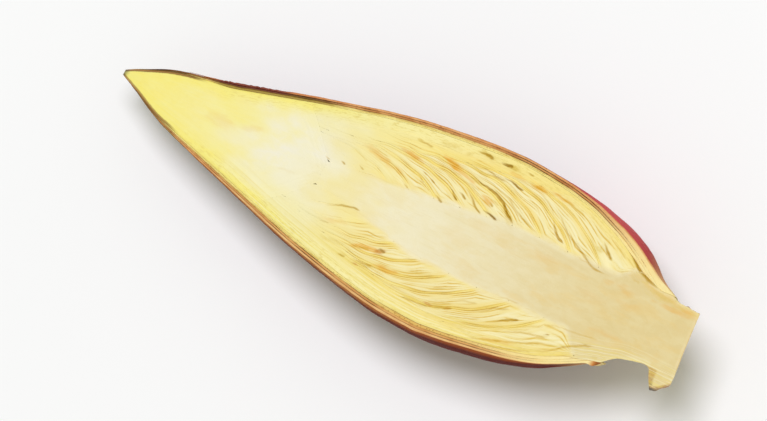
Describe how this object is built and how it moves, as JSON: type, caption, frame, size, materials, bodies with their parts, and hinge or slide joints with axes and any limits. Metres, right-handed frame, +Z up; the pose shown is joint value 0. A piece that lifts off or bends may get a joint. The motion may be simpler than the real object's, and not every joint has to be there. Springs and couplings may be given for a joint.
{
  "type": "banana blossom half",
  "caption": "Half of a banana blossom cut lengthwise, lying on its back: maroon outer bracts, pale inner bracts with rows of unopened florets, heart and stem core.",
  "frame": {"origin": "centre of the bounding box's base, on the surface that the half lies on", "axes": "+X from the pointed tip to the cut stem, +Y across the cut face, +Z up, away from the surface; the cut face looks up"},
  "size_m": [0.2784, 0.0878, 0.0599],
  "materials": {
    "outer_bract": "waxy, finely ribbed maroon skin with a dull bloom, and a tan cut edge",
    "rind_bract": "tan cut edge with dark dotted veins, pinkish cream inside",
    "inner_bract": "moist satin, pale yellow cream",
    "floret": "moist satin, cream with yellower tips",
    "heart": "smooth moist satin, lemon yellow",
    "stem_core": "moist, finely fibrous, warm cream"
  },
  "bodies": {
    "root": {"outer_bract_upper": "outer_bract", "outer_bract_lower": "outer_bract", "middle_bract": "outer_bract", "rind_bract_upper": "rind_bract", "rind_bract_lower": "rind_bract", "heart": "heart", "stem_core": "stem_core", "floret_row_lower_03": "floret", "floret_row_lower_04": "floret", "floret_row_lower_05": "floret", "floret_row_lower_06": "floret", "floret_row_lower_07": "floret", "floret_row_lower_08": "floret", "floret_row_lower_09": "floret", "floret_row_upper_03": "floret", "floret_row_upper_04": "floret", "floret_row_upper_05": "floret", "floret_row_upper_06": "floret", "floret_row_upper_07": "floret", "floret_row_upper_08": "floret", "floret_row_upper_09": "floret", "floret_row_upper_10": "floret", "floret_row_upper_11": "floret", "inner_bract_lower_01": "inner_bract", "inner_bract_lower_02": "inner_bract", "inner_bract_lower_03": "inner_bract", "inner_bract_lower_04": "inner_bract", "inner_bract_lower_05": "inner_bract", "inner_bract_lower_06": "inner_bract", "inner_bract_lower_07": "inner_bract", "inner_bract_lower_08": "inner_bract", "inner_bract_lower_09": "inner_bract", "inner_bract_upper_01": "inner_bract", "inner_bract_upper_02": "inner_bract", "inner_bract_upper_03": "inner_bract", "inner_bract_upper_04": "inner_bract", "inner_bract_upper_05": "inner_bract", "inner_bract_upper_06": "inner_bract", "inner_bract_upper_07": "inner_bract", "inner_bract_upper_08": "inner_bract", "inner_bract_upper_09": "inner_bract", "inner_bract_upper_10": "inner_bract", "inner_bract_upper_11": "inner_bract"}
  },
  "joints": []
}
